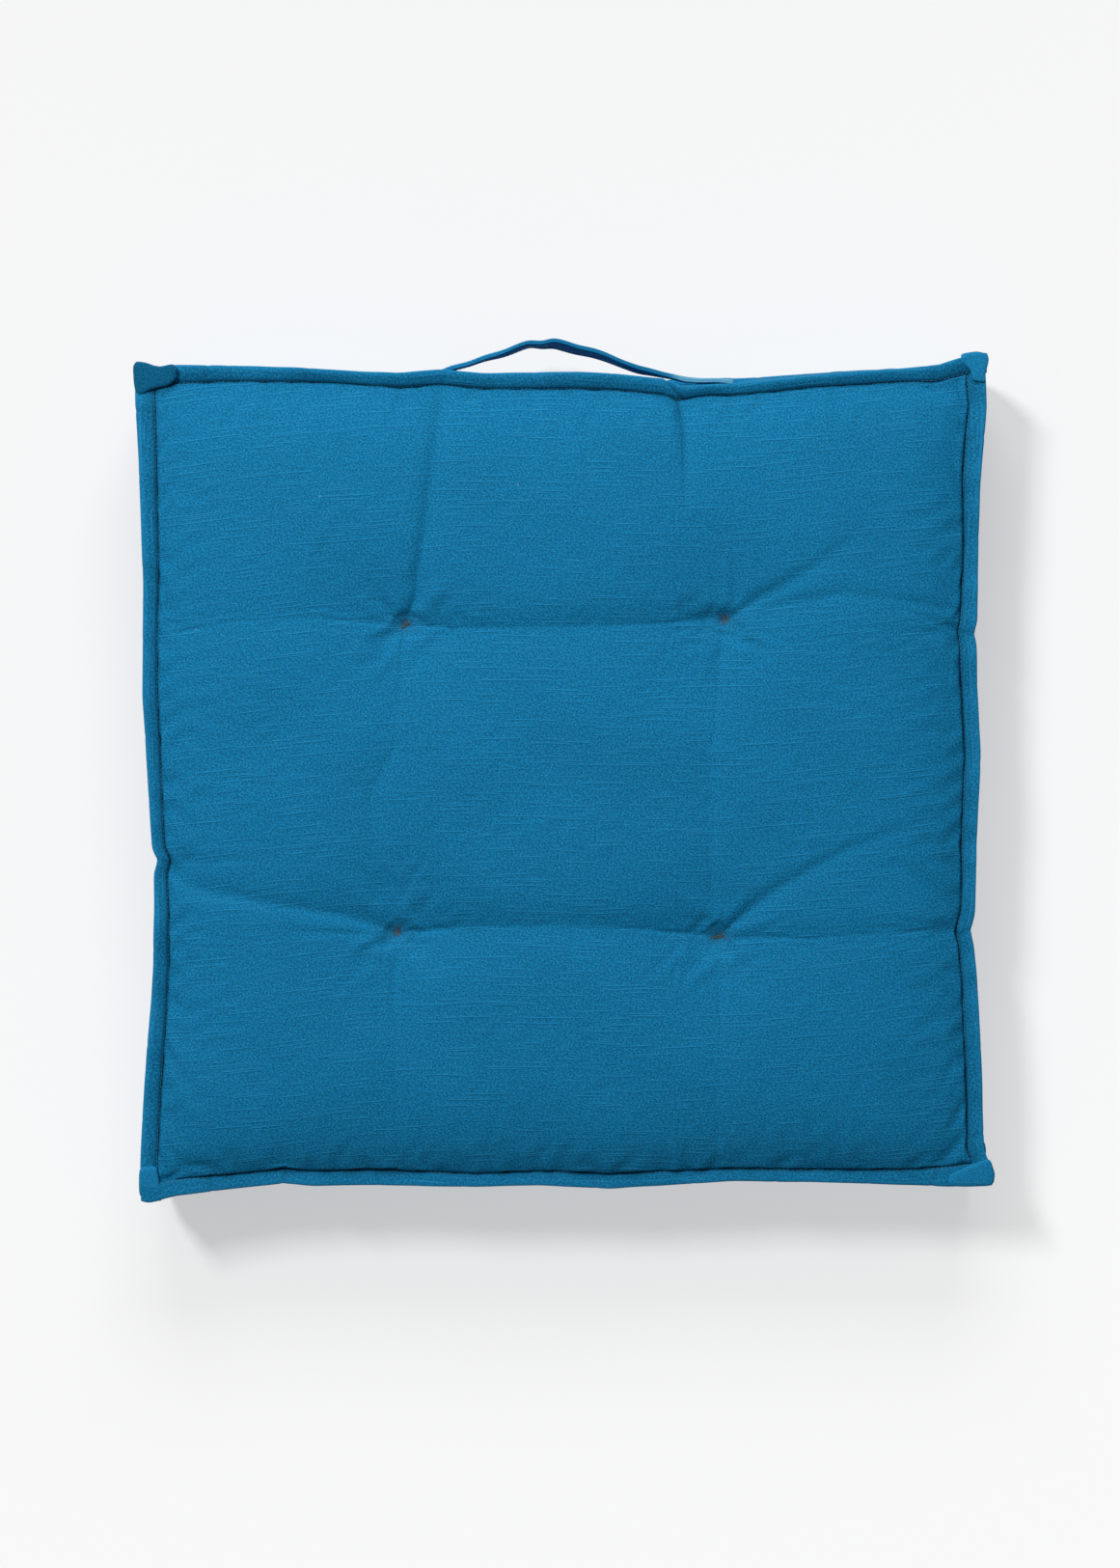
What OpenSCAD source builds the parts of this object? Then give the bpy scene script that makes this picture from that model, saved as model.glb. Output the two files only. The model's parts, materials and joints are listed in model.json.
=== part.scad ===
// Square box floor cushion: two tufted panels joined by upright bands, a flat sewn flange round each panel,
// stacked wadding inside, and a cloth strap handle on the back band.
// Millimetres, +Z up, +Y towards the handle side. The origin is the middle of the cushion, on the floor.

/* [Cushion] */
// length of each side, from corner to corner
side_length = 600; // [450:10:750]
// how far the middle of each side is drawn in
side_pull_in = 12; // [0:1:18]
// height of the highest part of the top above the floor
crown_height = 104; // [92:1:112]
// thickness of the cover cloth with its backing
cover_thickness = 1.5; // [1:0.1:2]

/* [Flanges] */
// width of the flat folded strip sewn round each panel
flange_width = 10; // [8:0.5:12]
// thickness of the folded strip
flange_thickness = 4; // [3:0.5:5]
// height of the middle of the bottom flange
bottom_flange_height = 12; // [11:0.5:14]
// height of the middle of the top flange
top_flange_height = 84; // [80:0.5:86]

/* [Tufts] */
// distance between neighbouring tufts
tuft_pitch = 225; // [180:5:250]
// depth of the hollow that a tuft pulls into the top
tuft_depth = 14; // [6:1:16]
// distance over which the hollow dies away
tuft_spread = 34; // [25:1:40]

/* [Handle] */
// distance between the points where the strap leaves the band
handle_span = 165; // [150:5:190]
// how far the strap stands out from the band
handle_bow = 30; // [28:1:34]
// width of the strap
strap_width = 25; // [20:1:26]
// thickness of the folded strap
strap_thickness = 3; // [2:0.5:4]
// length of strap sewn down at each end
sewn_length = 40; // [30:5:50]

/* [Hidden] */
$fn = 48;

// the sides, as the turn that takes the front side to each of them
front = 0;
right = 90;
back = 180;
left = 270;

half_side = side_length / 2;
face_gap = 0.2; // air left between pieces that are pressed or sewn together
strip_steps = 12; // pieces that a curved strip is drawn with

// flanges
bottom_flange_top = bottom_flange_height + flange_thickness / 2;
bottom_flange_base = bottom_flange_height - flange_thickness / 2;
top_flange_base = top_flange_height - flange_thickness / 2;
top_flange_top = top_flange_height + flange_thickness / 2;

// bands: each stands under the middle of the flanges, because the filling pushes it out between them
band_inset = flange_width / 2;
band_base = bottom_flange_top + face_gap;
band_height = top_flange_base - bottom_flange_top - 2 * face_gap;

// panels
half_panel = half_side - flange_width - face_gap;
panel_rise = crown_height - top_flange_top;
edge_steepness = 5;
tuft_offset = tuft_pitch / 2;
inner_steps = 10; // panel cells between two tufts
outer_steps = 7; // panel cells from a tuft to the edge
panel_steps = inner_steps + 2 * outer_steps;
tuft_station = tuft_offset / (half_panel - drawn_in(tuft_offset));
dimple_floor = top_height(tuft_station, tuft_station);

// bottom panel: it lies flat on the floor and turns up to its flange near the edge
turn_up_width = 30;
turn_up_rings = 3;
half_flat = half_panel - turn_up_width;
cup_radius = 13;
cup_height = 6;
thread_hole_radius = 1.8;

// wadding: three layers
wadding_inset = band_inset + cover_thickness + 1.5;
layer_height = 32;
lower_layer_top = bottom_flange_top + 12;
middle_layer_top = lower_layer_top + layer_height;

// threads
thread_radius = 1.2;
stitch_thickness = 0.5;
stitch_inset = flange_width - 1.6;
tuft_stitch_length = 10;
tuft_stitch_radius = 0.8;
tuft_stitch_lift = 1.4; // air under a tuft stitch, above the deepest point of its hollow

// handle: the loop turns, and the sewn ends with the first part of the bow stay on the band
strap_height = (bottom_flange_height + top_flange_height) / 2 - 1;
loop_reach = handle_span / 3;
split_gap = 0.3;
strap_end = handle_span / 2 + sewn_length;
strap_stitch_inset = 3;
strap_stitch_lift = strap_thickness + 0.15;

// colours
cover_blue = [0.10, 0.48, 0.67];
band_blue = [0.07, 0.40, 0.58];
strap_blue = [0.04, 0.30, 0.47];
stitch_blue = [0.55, 0.74, 0.85];
twine_grey = [0.62, 0.57, 0.50];
wadding_white = [0.93, 0.92, 0.89];

// ---------- outline ----------

// how far a side is drawn in at a distance from its middle
function drawn_in(along) = side_pull_in * (1 - pow(along / half_side, 2));

// a point of the plan: u and v run from -1 to 1 over a square of half size "half" with drawn-in sides
function plan(u, v, half) = [u * (half - drawn_in(v * half)), v * (half - drawn_in(u * half))];

function turned(p, angle) = [p.x * cos(angle) - p.y * sin(angle), p.x * sin(angle) + p.y * cos(angle)];

function reversed(list) = [for (i = [len(list) - 1:-1:0]) list[i]];

// the whole outline at a half size, anticlockwise from the front left corner
function outline(half) = [
    for (side = [front, right, back, left])
        for (i = [0:strip_steps - 1])
            turned(plan(2 * i / strip_steps - 1, -1, half), side)
];

// a strip along the front side, seen from above, from -reach to +reach
module side_strip(inset, width, reach) {
    stations = [for (i = [0:strip_steps]) reach * (2 * i / strip_steps - 1)];
    outer = [for (x = stations) [x, drawn_in(x) + inset - half_side]];
    inner = [for (p = outer) [p.x, p.y + width]];
    polygon(concat(outer, reversed(inner)));
}

// ---------- panels ----------

// the panel's grid lines, spaced so that one of them runs through each tuft
function station(i) =
    i < outer_steps ? -1 + (1 - tuft_station) * i / outer_steps
    : i <= outer_steps + inner_steps ? tuft_station * (2 * (i - outer_steps) / inner_steps - 1)
    : tuft_station + (1 - tuft_station) * (i - outer_steps - inner_steps) / outer_steps;

function swell(s) = 1 - pow(abs(s), edge_steepness);

// the depth of the nearest tuft's hollow at a point of the plan
function dimple(p) =
    let (away = norm([abs(p.x) - tuft_offset, abs(p.y) - tuft_offset]))
    tuft_depth * exp(-pow(away / tuft_spread, 2));

// the height of the top panel's upper face
function top_height(u, v) = top_flange_top + panel_rise * swell(u) * swell(v) - dimple(plan(u, v, half_panel));

function grid_layer(half, height) = [
    for (j = [0:panel_steps])
        for (i = [0:panel_steps])
            let (u = station(i), v = station(j), p = plan(u, v, half))
            [p.x, p.y, height(u, v)]
];

// a solid over the whole plan between two surfaces, each a function of u and v
module slab_between(half, lower, upper) {
    row = panel_steps + 1;
    layer = row * row;
    cells = [for (j = [0:panel_steps - 1]) for (i = [0:panel_steps - 1]) j * row + i];
    rim = concat(
        [for (i = [0:panel_steps - 1]) i],
        [for (j = [0:panel_steps - 1]) j * row + panel_steps],
        [for (i = [0:panel_steps - 1]) panel_steps * row + panel_steps - i],
        [for (j = [0:panel_steps - 1]) (panel_steps - j) * row]
    );
    lower_faces = [for (a = cells) each [[a, a + 1, a + row + 1], [a, a + row + 1, a + row]]];
    upper_faces = [for (f = lower_faces) [for (i = reversed(f)) i + layer]];
    wall_faces = [
        for (k = [0:len(rim) - 1])
            let (p = rim[k], q = rim[(k + 1) % len(rim)])
            [p, p + layer, q + layer, q]
    ];
    polyhedron(
        points = concat(grid_layer(half, lower), grid_layer(half, upper)),
        faces = concat(lower_faces, upper_faces, wall_faces)
    );
}

module at_tufts() {
    for (x = [-tuft_offset, tuft_offset])
        for (y = [-tuft_offset, tuft_offset])
            translate([x, y, 0]) children();
}

module top_panel() {
    color(cover_blue)
        slab_between(
            half_panel,
            function (u, v) top_height(u, v) - cover_thickness,
            function (u, v) top_height(u, v)
        );
}

// the bottom panel's turned-up edge, a ring of cloth that rises from the flat part to the bottom flange
module turn_up() {
    count = 4 * strip_steps;
    ring = 2 * count;
    rise = bottom_flange_height - cover_thickness;
    points = [
        for (r = [0:turn_up_rings])
            let (share = r / turn_up_rings, edge = outline(half_flat + turn_up_width * share))
            for (z = [rise * pow(share, 2), rise * pow(share, 2) + cover_thickness])
                for (p = edge)
                    [p.x, p.y, z]
    ];
    sloping_faces = [
        for (r = [0:turn_up_rings - 1])
            for (k = [0:count - 1])
                let (a = r * ring + k, b = r * ring + (k + 1) % count)
                each [
                    [a, a + ring, b + ring],
                    [a, b + ring, b],
                    [b + count, b + ring + count, a + ring + count],
                    [b + count, a + ring + count, a + count]
                ]
    ];
    outer_start = turn_up_rings * ring;
    upright_faces = [
        for (k = [0:count - 1])
            let (a = k, b = (k + 1) % count)
            each [
                [a, b, b + count, a + count],
                [b + outer_start, a + outer_start, a + outer_start + count, b + outer_start + count]
            ]
    ];
    polyhedron(points = points, faces = concat(sloping_faces, upright_faces));
}

// the small hollow that a tuft pulls into the bottom panel
module tuft_cup() {
    rotate_extrude()
        polygon([
            [thread_hole_radius, cup_height - cover_thickness],
            [cup_radius / 2, cup_height / 2],
            [cup_radius, 0],
            [cup_radius + 1, 0],
            [cup_radius + 1, cover_thickness],
            [cup_radius / 2 + 1, cup_height / 2 + cover_thickness],
            [thread_hole_radius, cup_height]
        ]);
}

module bottom_panel() {
    color(cover_blue) {
        linear_extrude(cover_thickness)
            difference() {
                polygon(outline(half_flat));
                at_tufts() circle(cup_radius + 0.5);
            }
        at_tufts() tuft_cup();
        turn_up();
    }
}

// ---------- flanges and bands ----------

// the front and back strips run through to the corners, and the left and right ones fit between them
function strip_reach(side, inset, width) =
    side == front || side == back ? half_side - inset : half_side - inset - width - side_pull_in * 0.1 - face_gap;

module flange(side, base) {
    color(cover_blue)
        rotate([0, 0, side])
            translate([0, 0, base])
                linear_extrude(flange_thickness)
                    side_strip(0, flange_width, strip_reach(side, 0, flange_width));
}

module top_edge_front() {
    flange(front, top_flange_base);
}

module top_edge_right() {
    flange(right, top_flange_base);
}

module top_edge_back() {
    flange(back, top_flange_base);
}

module top_edge_left() {
    flange(left, top_flange_base);
}

module bottom_edge_front() {
    flange(front, bottom_flange_base);
}

module bottom_edge_right() {
    flange(right, bottom_flange_base);
}

module bottom_edge_back() {
    flange(back, bottom_flange_base);
}

module bottom_edge_left() {
    flange(left, bottom_flange_base);
}

module band(side) {
    color(band_blue)
        rotate([0, 0, side])
            translate([0, 0, band_base])
                linear_extrude(band_height)
                    side_strip(band_inset, cover_thickness, strip_reach(side, band_inset, cover_thickness));
}

module side_band_front() {
    band(front);
}

module side_band_right() {
    band(right);
}

module side_band_back() {
    band(back);
}

module side_band_left() {
    band(left);
}

// the row of stitches that holds a flange flat, drawn as one line of thread
module edge_stitching(base) {
    color(stitch_blue)
        for (side = [front, right, back, left])
            rotate([0, 0, side])
                translate([0, 0, base])
                    linear_extrude(stitch_thickness)
                        side_strip(stitch_inset, 0.8, half_side - flange_width - 2);
}

module top_edge_stitching() {
    edge_stitching(top_flange_top);
}

module bottom_edge_stitching() {
    edge_stitching(bottom_flange_base - stitch_thickness);
}

// ---------- filling ----------

module thread_holes() {
    at_tufts() translate([0, 0, -1]) cylinder(h = crown_height + 2, r = thread_hole_radius);
}

module wadding_lower() {
    color(wadding_white)
        difference() {
            union() {
                translate([0, 0, cover_thickness + face_gap])
                    linear_extrude(bottom_flange_top)
                        polygon(outline(half_flat - face_gap));
                translate([0, 0, bottom_flange_top])
                    linear_extrude(lower_layer_top - bottom_flange_top)
                        polygon(outline(half_side - wadding_inset));
            }
            at_tufts() cylinder(h = cup_height + cover_thickness, r = cup_radius + 2);
            thread_holes();
        }
}

module wadding_middle() {
    color(wadding_white)
        difference() {
            translate([0, 0, lower_layer_top + face_gap])
                linear_extrude(layer_height - face_gap)
                    polygon(outline(half_side - wadding_inset));
            thread_holes();
        }
}

module wadding_upper() {
    color(wadding_white)
        difference() {
            slab_between(
                half_panel - 1,
                function (u, v) middle_layer_top + face_gap,
                function (u, v) top_height(u, v) - cover_thickness - 1
            );
            thread_holes();
        }
}

// ---------- tuft threads ----------

// the thread of one tuft: a stitch under the bottom panel and the doubled twine up through the filling
module tuft_thread(x, y) {
    bottom = cup_height - cover_thickness - 2.5;
    color(twine_grey)
        translate([x, y, 0]) {
            translate([0, 0, bottom])
                cylinder(h = dimple_floor - cover_thickness - 1 - bottom, r = thread_radius);
            translate([-tuft_stitch_length / 3, 0, bottom + tuft_stitch_radius])
                rotate([0, 90, 0])
                    cylinder(h = tuft_stitch_length * 2 / 3, r = tuft_stitch_radius);
        }
}

module tuft_thread_front_left() {
    tuft_thread(-tuft_offset, -tuft_offset);
}

module tuft_thread_front_right() {
    tuft_thread(tuft_offset, -tuft_offset);
}

module tuft_thread_back_left() {
    tuft_thread(-tuft_offset, tuft_offset);
}

module tuft_thread_back_right() {
    tuft_thread(tuft_offset, tuft_offset);
}

// a stitch lying in a tuft's hollow, turned by an angle from the X axis
module tuft_stitch(x, y, angle) {
    translate([x, y, dimple_floor + tuft_stitch_radius + tuft_stitch_lift])
        rotate([0, 90, angle])
            cylinder(h = tuft_stitch_length, r = tuft_stitch_radius, center = true);
}

module top_tuft_stitches() {
    color(twine_grey) {
        tuft_stitch(-tuft_offset, tuft_offset, 40);
        tuft_stitch(tuft_offset, tuft_offset, 90);
        tuft_stitch(-tuft_offset, -tuft_offset, 85);
        tuft_stitch(tuft_offset, -tuft_offset, 10);
    }
}

// ---------- handle ----------

// the line of the strap's inner face, as a distance back from the middle of the cushion
function band_face(x) = half_side - band_inset - drawn_in(x) + face_gap;

function strap_face(x) =
    let (s = min(1, abs(x) * 2 / handle_span))
    band_face(max(abs(x), handle_span / 2)) + handle_bow * pow(1 - s * s, 1.5);

// a piece of the strap from one distance along the band to another; lift is measured from its inner face
module strap_piece(from, to, lift, thickness, base, height) {
    steps = ceil(abs(to - from) / 6);
    stations = [for (i = [0:steps]) from + (to - from) * i / steps];
    inner = [for (x = stations) [x, strap_face(x) + lift]];
    outer = [for (p = inner) [p.x, p.y + thickness]];
    translate([0, 0, base])
        linear_extrude(height)
            polygon(concat(inner, reversed(outer)));
}

// two lines of thread along the edges of the strap's outer face
module strap_stitch_lines(from, to) {
    edge = strap_width / 2 - strap_stitch_inset;
    for (z = [strap_height - edge, strap_height + edge])
        strap_piece(from, to, strap_stitch_lift, stitch_thickness, z - 0.4, 0.8);
}

module handle_strap() {
    color(strap_blue)
        strap_piece(-loop_reach, loop_reach, 0, strap_thickness, strap_height - strap_width / 2, strap_width);
}

module handle_edge_stitching() {
    color(stitch_blue) strap_stitch_lines(-loop_reach, loop_reach);
}

// one sewn end, on the right for direction 1 and on the left for direction -1
module handle_end(direction) {
    color(strap_blue)
        strap_piece(
            direction * (loop_reach + split_gap),
            direction * strap_end,
            0,
            strap_thickness,
            strap_height - strap_width / 2,
            strap_width
        );
}

module handle_end_left() {
    handle_end(-1);
}

module handle_end_right() {
    handle_end(1);
}

// the box of stitches that holds one sewn end to the band
module handle_end_stitching(direction) {
    start = handle_span / 2 + 4;
    finish = strap_end - 4;
    edge = strap_width / 2 - strap_stitch_inset;
    color(stitch_blue) {
        strap_stitch_lines(direction * (loop_reach + split_gap), direction * finish);
        for (x = [start, finish - 0.8])
            strap_piece(
                direction * x,
                direction * (x + 0.8),
                strap_stitch_lift,
                stitch_thickness,
                strap_height - edge,
                2 * edge
            );
    }
}

module handle_end_stitching_left() {
    handle_end_stitching(-1);
}

module handle_end_stitching_right() {
    handle_end_stitching(1);
}

top_panel();
bottom_panel();
top_edge_front();
top_edge_right();
top_edge_back();
top_edge_left();
bottom_edge_front();
bottom_edge_right();
bottom_edge_back();
bottom_edge_left();
side_band_front();
side_band_right();
side_band_back();
side_band_left();
top_edge_stitching();
bottom_edge_stitching();
wadding_lower();
wadding_middle();
wadding_upper();
tuft_thread_front_left();
tuft_thread_front_right();
tuft_thread_back_left();
tuft_thread_back_right();
top_tuft_stitches();
handle_strap();
handle_edge_stitching();
handle_end_left();
handle_end_right();
handle_end_stitching_left();
handle_end_stitching_right();
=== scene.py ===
"""The floor cushion, dressed: a tufted slub cotton cover, sewn flanges, wadding, tuft twine and a handle.

Sizes come from the CAD frame's own boxes. Listed shapes are in millimetres from the middle of the cushion,
with X to the right and Y towards the handle, as seen from above.
"""

import json
import math

import bpy
import numpy as np
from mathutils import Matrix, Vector


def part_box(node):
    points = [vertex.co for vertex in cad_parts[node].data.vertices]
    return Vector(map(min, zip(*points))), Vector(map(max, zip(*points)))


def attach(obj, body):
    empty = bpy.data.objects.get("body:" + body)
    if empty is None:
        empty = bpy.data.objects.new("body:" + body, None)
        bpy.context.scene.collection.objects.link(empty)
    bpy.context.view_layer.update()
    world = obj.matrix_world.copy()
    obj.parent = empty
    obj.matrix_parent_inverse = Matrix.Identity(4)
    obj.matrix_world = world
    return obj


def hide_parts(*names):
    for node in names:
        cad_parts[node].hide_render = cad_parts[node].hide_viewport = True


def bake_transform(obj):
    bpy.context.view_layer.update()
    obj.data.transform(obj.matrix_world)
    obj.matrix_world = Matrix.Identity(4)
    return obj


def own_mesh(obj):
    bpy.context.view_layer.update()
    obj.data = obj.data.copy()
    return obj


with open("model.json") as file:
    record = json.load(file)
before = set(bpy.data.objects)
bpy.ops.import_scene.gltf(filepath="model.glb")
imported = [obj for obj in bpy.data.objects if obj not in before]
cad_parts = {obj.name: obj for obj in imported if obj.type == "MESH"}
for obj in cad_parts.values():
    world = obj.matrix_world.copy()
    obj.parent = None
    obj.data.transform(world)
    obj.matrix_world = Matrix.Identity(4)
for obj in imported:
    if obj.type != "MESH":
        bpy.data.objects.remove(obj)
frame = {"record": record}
scene = bpy.context.scene
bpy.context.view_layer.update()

MM = 0.001
BODY = {"top": "top", "bottom": "base"}
SIDES = ("front", "right", "back", "left")
OUTWARD = {"front": (0, -1), "right": (1, 0), "back": (0, 1), "left": (-1, 0)}
ALONG = {"front": (1, 0), "right": (0, 1), "back": (1, 0), "left": (0, 1)}

# ---------- sizes from the frame ----------

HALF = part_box("top_edge_back")[1][0]
FLANGE_WIDTH = 0.010
TOP_FLANGE_Z = sum(c[2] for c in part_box("top_edge_back")) / 2
BOTTOM_FLANGE_Z = sum(c[2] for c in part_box("bottom_edge_back")) / 2
CROWN_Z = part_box("top_panel")[1][2]
STRAP_LOW, STRAP_HIGH = (c[2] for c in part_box("handle_strap"))
TUFTS = {
    "back_left": (-111, 108),
    "back_right": (113.5, 112),
    "front_left": (-116.5, -108),
    "front_right": (109, -111),
}
JOINTS = {j["name"]: j for j in frame["record"]["behaviour"]["joints"]}
TRAVEL = JOINTS["sit_compress"]["range_m"][1]

# How far the flange's outer edge is drawn in from the nominal side, as (distance along the side, drawn in).
TOP_EDGE = {
    "front": [(-300, 4), (-292, 1), (-274, 6), (-240, 10), (-196, 15), (-177, 13), (-134, 13.5), (-62, 12.5),
              (-16, 13.7), (34, 11), (119, 16.5), (176, 16), (273, 12.5), (300, 13.5)],
    "right": [(-300, 0), (-285, -3), (-276, -3), (-262, 3), (-210, 4.5), (-142, 8), (-118, 10), (-107, 12.7),
              (-96, 9.5), (-46, 8.5), (18, 5.5), (70, 8), (96, 8.5), (103, 10.5), (110, 8), (209, 6),
              (262, 1), (287, 2.2), (300, 0)],
    "back": [(-300, 7.5), (-291, 9), (-284, 11.5), (-276, 8.5), (-220, 9), (-114, 14.2), (-86, 11.5),
             (-57, 14.3), (10, 13.5), (38, 14.6), (55, 16.4), (75, 18.2), (79, 22.6), (88, 23.3), (100, 22.5),
             (120, 21.2), (150, 18.8), (171, 16.4), (183, 15), (263, 9), (282, 3), (296, -1), (300, 1)],
    "left": [(-300, 3), (-272, 2), (-232, 4), (-131, 11.5), (-97, 12), (-66, 11.5), (-58, 15), (-50, 10.5),
             (-26, 9), (5, 7), (59, 3.8), (141, 4.2), (227, 0.8), (268, -1.4), (300, -1.5)],
}
# The top flange's width along each side, in the same way.
TOP_WIDTH = {
    "front": [(-280, 11.5), (-200, 10.2), (-140, 11.6), (-60, 9.5), (40, 10.9), (100, 9.5), (160, 8.4),
              (240, 10.9), (285, 16)],
    "right": [(-280, 12), (-120, 10.9), (-80, 10.2), (0, 11.4), (120, 12), (160, 10.9), (240, 13.2),
              (280, 13.5)],
    "back": [(-280, 13.4), (-240, 11.6), (-160, 9.6), (-80, 11), (10, 12), (75, 11.6), (88, 8.8), (103, 7.8),
             (120, 8.8), (171, 8.6), (200, 9.5), (240, 9.7), (280, 12.5)],
    "left": [(-280, 12.2), (-160, 11.6), (-40, 9), (40, 10.8), (100, 10.2), (200, 12.2), (280, 14.2)],
}
BOTTOM_EDGE = {
    "front": [(-300, 2), (-200, 9), (0, 12), (150, 13), (300, 3)],
    "right": [(-300, 1), (-150, 7), (0, 10), (120, 8), (300, 1)],
    "back": [(-300, 3), (-150, 9), (0, 11), (130, 8), (220, 2), (300, 0)],
    "left": [(-300, 2), (-140, 9), (0, 10), (140, 7), (300, 2)],
}


def smooth_line(points, at, blur=5.0):
    """A smooth curve through given points, read at the distances in at. All in millimetres."""
    fine = np.arange(-340.0, 341.0)
    line = np.interp(fine, [p[0] for p in points], [p[1] for p in points])
    kernel = np.exp(-0.5 * (np.arange(-20, 21) / blur) ** 2)
    kernel /= kernel.sum()
    line = np.convolve(np.pad(line, 20, mode="edge"), kernel, mode="valid")
    return np.interp(at, fine, line)


def ripple(x, y, wavelength, seed, waves=14):
    """A smooth random field of about unit height: sine waves of random direction and phase."""
    rng = np.random.RandomState(seed)
    total = 0
    for _ in range(waves):
        angle, phase = rng.uniform(0, 2 * math.pi, 2)
        k = 2 * math.pi / (wavelength * rng.uniform(0.7, 1.4))
        total = total + np.sin(k * (x * math.cos(angle) + y * math.sin(angle)) + phase)
    return total / math.sqrt(waves / 2)


def fade(distance, width, power=2):
    """1 at no distance, fading to 0 past width."""
    return np.exp(-((distance / width) ** power))


def rounded(distance, width):
    """From 0 at an edge up to 1 at width from it, like a quarter of a circle."""
    return np.sqrt(1 - (1 - np.clip(distance / width, 0, 1)) ** 2)


def edge_distance(level, side, along):
    """How far the flange's outer edge lies from the cushion's middle, in metres, at distances along it."""
    table = TOP_EDGE if level == "top" else BOTTOM_EDGE
    return HALF - smooth_line(table[side], along / MM, 3.0) * MM


def flange_width(level, side, along):
    """The flange's width, in metres, at distances along it."""
    if level == "top":
        return smooth_line(TOP_WIDTH[side], along / MM) * MM
    return FLANGE_WIDTH + 0 * along


def seam_distance(level, side, along):
    """How far the seam between the flange and the cover lies from the cushion's middle."""
    return edge_distance(level, side, along) - flange_width(level, side, along)


def neighbours(side):
    """The sides that meet a side at its low and its high end, and which of their ends it meets."""
    low, high = ("left", "right") if side in ("front", "back") else ("front", "back")
    return low, high, 1 if side in ("back", "right") else -1


def tuft_distances(x, y, stretch=1.0):
    """Distances in millimetres of points from each tuft; stretch makes the rings around it wider along X."""
    return [np.hypot((x / MM - tx) / stretch, y / MM - ty) for tx, ty in TUFTS.values()]


# ---------- mesh helpers ----------


def new_object(name, data):
    obj = bpy.data.objects.new(name, data)
    scene.collection.objects.link(obj)
    return obj


def listed(*grids):
    """The grids' values as one row for each point."""
    return np.stack([grid.ravel() for grid in grids], axis=1)


def make_piece(name, verts, faces, body, slot_name, uvs, replaces):
    """A mesh piece, on a CAD body if one is named. uvs are cloth coordinates in metres, one per vertex."""
    mesh = bpy.data.meshes.new(name)
    mesh.from_pydata([tuple(v) for v in verts], [], [tuple(f) for f in faces])
    mesh.validate()
    if uvs is not None:
        layer = mesh.uv_layers.new(name="cloth")
        loops = np.empty(len(mesh.loops), dtype=np.int32)
        mesh.loops.foreach_get("vertex_index", loops)
        layer.data.foreach_set("uv", np.asarray(uvs, dtype=np.float32)[loops].ravel())
    mesh.polygons.foreach_set("use_smooth", [True] * len(mesh.polygons))
    mesh.materials.append(MATERIALS[slot_name])
    obj = new_object(name, mesh)
    if body:
        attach(obj, body)
    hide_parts(*replaces)
    return obj


def grid_faces(rows, columns, start=0, wrap=False):
    """Quads over a grid of points stored row by row; wrap joins the last column to the first."""
    faces = []
    for j in range(rows - 1):
        for i in range(columns if wrap else columns - 1):
            a = start + j * columns + i
            b = start + j * columns + (i + 1) % columns
            faces.append((a, b, b + columns, a + columns))
    return faces


def tube_faces(rings, n, start=0):
    """A closed tube over rings of n points, with a face at each end."""
    end = start + (rings - 1) * n
    caps = [tuple(start + i for i in reversed(range(n))), tuple(end + i for i in range(n))]
    return grid_faces(rings, n, start, wrap=True) + caps


def turned(faces):
    return [tuple(reversed(face)) for face in faces]


def outward(side, faces):
    """Turns the faces on the two sides where a strip's points would leave them facing in."""
    return turned(faces) if side in ("back", "left") else faces


def section_uvs(along, section, size, shift):
    """Cloth coordinates for a section's points, size metres to its unit, at a column of distances along."""
    across = np.cumsum([0] + [math.dist(a, b) for a, b in zip(section, section[1:])]) * size
    return listed(*np.broadcast_arrays(along + shift[0], across + shift[1]))


CLOTH_THICKNESS = 1.2 * MM


def thicken(obj):
    """Gives a single sheet its cloth thickness, on its inner side."""
    mod = obj.modifiers.new("cloth thickness", "SOLIDIFY")
    mod.thickness = CLOTH_THICKNESS
    mod.offset = -1.0


def mark(obj, name, values):
    """Stores a share from 0 to 1 at each point, for the cloth material to read."""
    layer = obj.data.attributes.new(name, "FLOAT", "POINT")
    layer.data.foreach_set("value", np.clip(np.ravel(values), 0, 1).astype(np.float32))


class Capsules:
    """Collects many short rounded threads into one mesh."""

    def __init__(self):
        self.verts, self.faces = [], []

    def piece(self, name, body, slot_name, node):
        return make_piece(name, self.verts, self.faces, body, slot_name, None, [node])

    def add_row(self, starts, ends, radius, up=(0, 0, 1)):
        for pair in zip(starts, ends):
            self.add(pair, radius, up)

    def add(self, points, radius, up=(0, 0, 1)):
        """A six-sided tube along points with tapered round ends."""
        points = [Vector(p) for p in points]
        first = (points[1] - points[0]).normalized()
        last = (points[-1] - points[-2]).normalized()
        stations = [(points[0] - first * radius, 0.35), (points[0] - first * radius * 0.4, 0.85)]
        stations += [(p, 1.0) for p in points]
        stations += [(points[-1] + last * radius * 0.4, 0.85), (points[-1] + last * radius, 0.35)]
        start = len(self.verts)
        for k, (p, share) in enumerate(stations):
            before = stations[max(k - 1, 0)][0]
            after = stations[min(k + 1, len(stations) - 1)][0]
            direction = (after - before).normalized()
            sideways = direction.cross(Vector(up))
            if sideways.length < 1e-6:
                sideways = direction.orthogonal()
            sideways.normalize()
            normal = sideways.cross(direction)
            for i in range(6):
                a = math.pi * i / 3
                self.verts.append(p + (sideways * math.cos(a) + normal * math.sin(a)) * radius * share)
        self.faces += tube_faces(len(stations), 6, start)


# ---------- materials ----------


def scaled(colour, share):
    return tuple(share * c for c in colour)


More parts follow.
